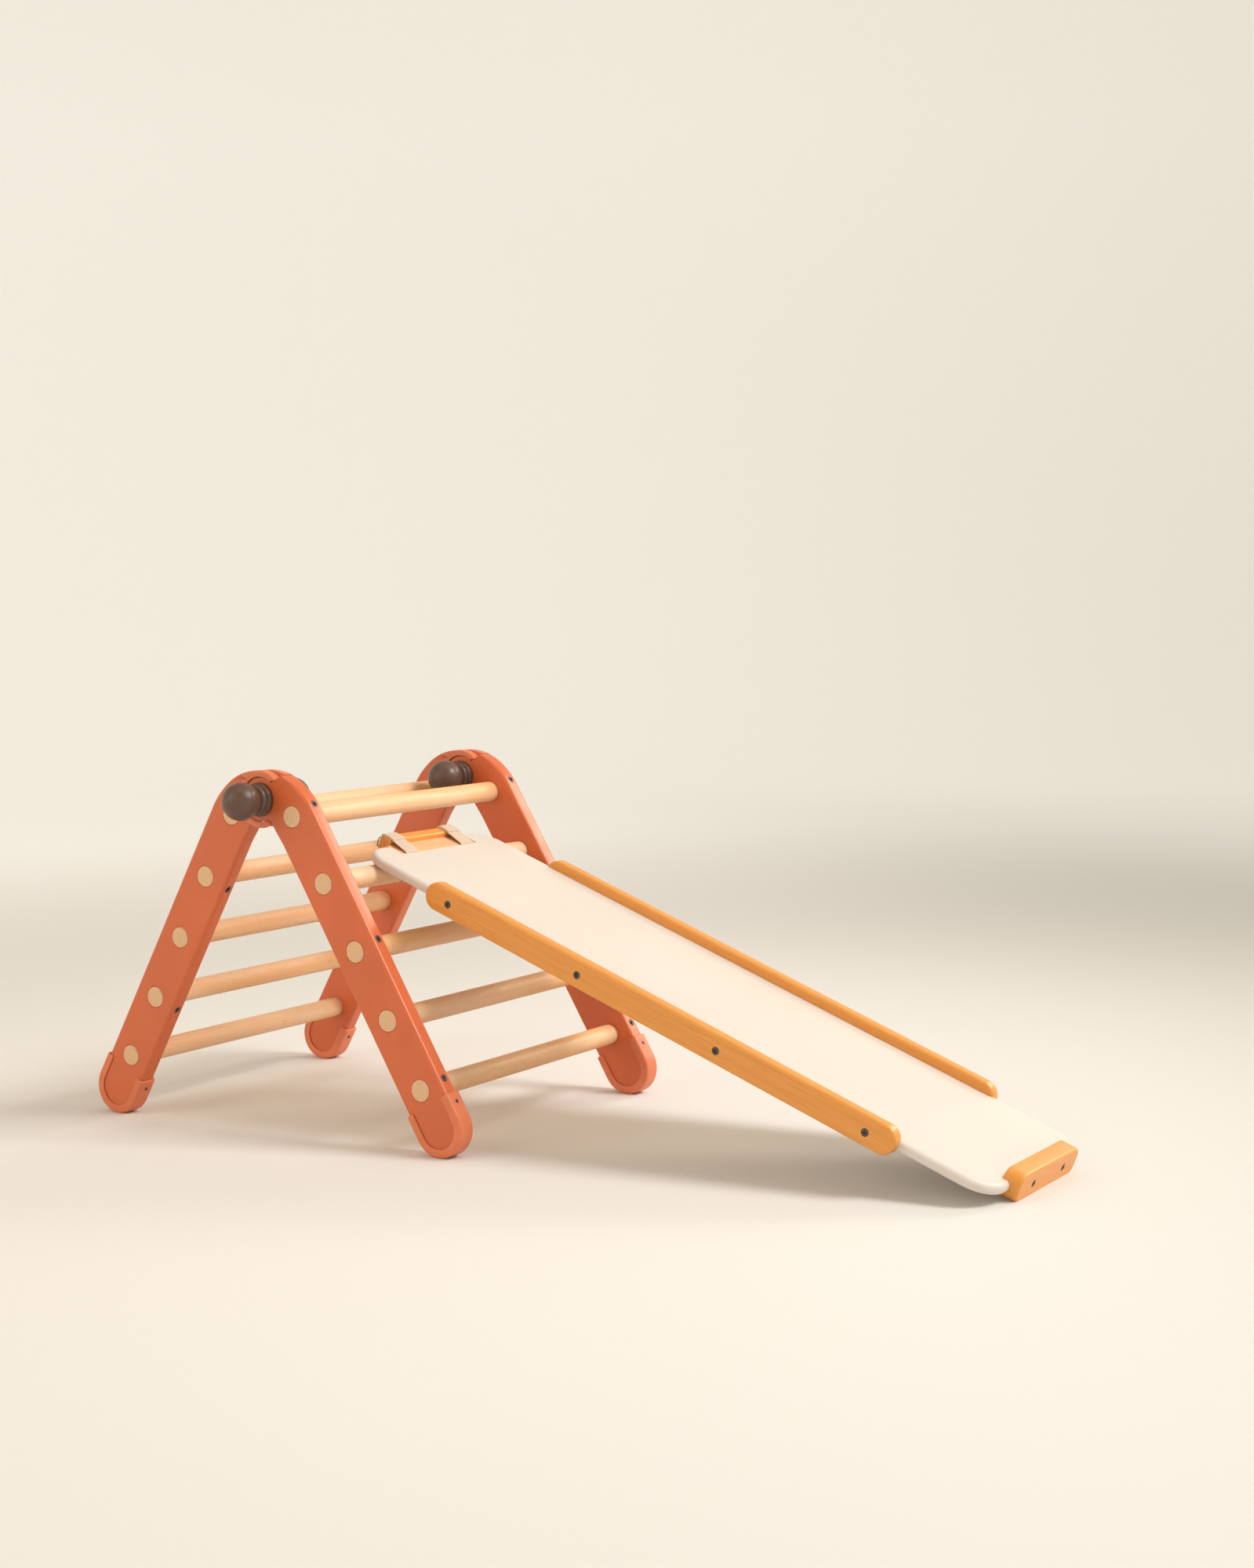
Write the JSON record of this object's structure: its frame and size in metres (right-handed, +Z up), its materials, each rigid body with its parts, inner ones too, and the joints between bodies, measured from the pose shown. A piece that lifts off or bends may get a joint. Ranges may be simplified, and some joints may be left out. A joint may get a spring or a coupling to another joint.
{
  "type": "toddler slide",
  "caption": "Folding wooden climbing triangle for toddlers with a board slide that hooks over a rung of one ladder.",
  "frame": {"origin": "middle of the footprint, on the floor", "axes": "+X towards the foot of the slide, +Y across the rungs, +Z up"},
  "size_m": [1.5002, 0.663, 0.548],
  "materials": {
    "rail_paint": "satin terracotta paint on solid wood",
    "moulded_rubber": "soft satin moulded plastic, a little pinker than the rails",
    "beech": "clear satin lacquer on beech",
    "bamboo": "satin lacquer on laminated bamboo",
    "board_paint": "smooth cream satin paint",
    "knob_plastic": "dark brown, softly glossy",
    "dark_screw": "black oxide",
    "webbing": "woven beige webbing",
    "buckle_metal": "dull grey metal"
  },
  "bodies": {
    "front_ladder": {"front_rail_near": "rail_paint", "front_hinge_hood_near": "moulded_rubber", "front_foot_cap_near": "moulded_rubber", "front_rung_screw_near_1": "dark_screw", "front_rung_screw_near_2": "dark_screw", "front_rung_screw_near_3": "dark_screw", "front_rung_screw_near_4": "dark_screw", "front_rung_screw_near_5": "dark_screw", "front_rail_far": "rail_paint", "front_hinge_hood_far": "moulded_rubber", "front_foot_cap_far": "moulded_rubber", "front_rung_screw_far_1": "dark_screw", "front_rung_screw_far_2": "dark_screw", "front_rung_screw_far_3": "dark_screw", "front_rung_screw_far_4": "dark_screw", "front_rung_screw_far_5": "dark_screw", "front_rung_1": "beech", "front_rung_2": "beech", "front_rung_3": "beech", "front_rung_4": "beech", "front_rung_5": "beech", "hinge_bolt_near": "dark_screw", "hinge_bolt_far": "dark_screw"},
    "rear_ladder": {"rear_rail_near": "rail_paint", "rear_hinge_hood_near": "moulded_rubber", "rear_foot_cap_near": "moulded_rubber", "rear_rung_screw_near_1": "dark_screw", "rear_rung_screw_near_2": "dark_screw", "rear_rung_screw_near_3": "dark_screw", "rear_rung_screw_near_4": "dark_screw", "rear_rung_screw_near_5": "dark_screw", "rear_rail_far": "rail_paint", "rear_hinge_hood_far": "moulded_rubber", "rear_foot_cap_far": "moulded_rubber", "rear_rung_screw_far_1": "dark_screw", "rear_rung_screw_far_2": "dark_screw", "rear_rung_screw_far_3": "dark_screw", "rear_rung_screw_far_4": "dark_screw", "rear_rung_screw_far_5": "dark_screw", "rear_rung_1": "beech", "rear_rung_2": "beech", "rear_rung_3": "beech", "rear_rung_4": "beech", "rear_rung_5": "beech"},
    "slide": {"slide_board": "board_paint", "slide_side_near": "bamboo", "slide_side_far": "bamboo", "slide_toe_bar": "bamboo", "hook_plate": "beech", "hook_bar": "bamboo", "strap_near": "webbing", "strap_far": "webbing", "strap_buckle_near": "buckle_metal", "strap_buckle_far": "buckle_metal"},
    "knob_near_outer_body": {"knob_near_outer": "knob_plastic"},
    "knob_near_inner_body": {"knob_near_inner": "knob_plastic"},
    "knob_far_outer_body": {"knob_far_outer": "knob_plastic"},
    "knob_far_inner_body": {"knob_far_inner": "knob_plastic"}
  },
  "joints": [
    {"name": "fold", "type": "hinge", "parent": "front_ladder", "child": "rear_ladder", "pos_m": [-0.39088, 0, 0.50497], "axis": [0, -1, 0], "range_deg": [0, 58.5]},
    {"name": "slide_tilt", "type": "hinge", "parent": "front_ladder", "child": "slide", "pos_m": [-0.27476, 0, 0.38412], "axis": [0, -1, 0], "range_deg": [0, 30]},
    {"name": "knob_near_outer_spin", "type": "hinge", "parent": "front_ladder", "child": "knob_near_outer_body", "pos_m": [-0.39088, -0.26, 0.50497], "axis": [0, -1, 0], "continuous": true},
    {"name": "knob_near_inner_spin", "type": "hinge", "parent": "front_ladder", "child": "knob_near_inner_body", "pos_m": [-0.39088, -0.234, 0.50497], "axis": [0, 1, 0], "continuous": true},
    {"name": "knob_far_outer_spin", "type": "hinge", "parent": "front_ladder", "child": "knob_far_outer_body", "pos_m": [-0.39088, 0.26, 0.50497], "axis": [0, 1, 0], "continuous": true},
    {"name": "knob_far_inner_spin", "type": "hinge", "parent": "front_ladder", "child": "knob_far_inner_body", "pos_m": [-0.39088, 0.234, 0.50497], "axis": [0, -1, 0], "continuous": true}
  ]
}
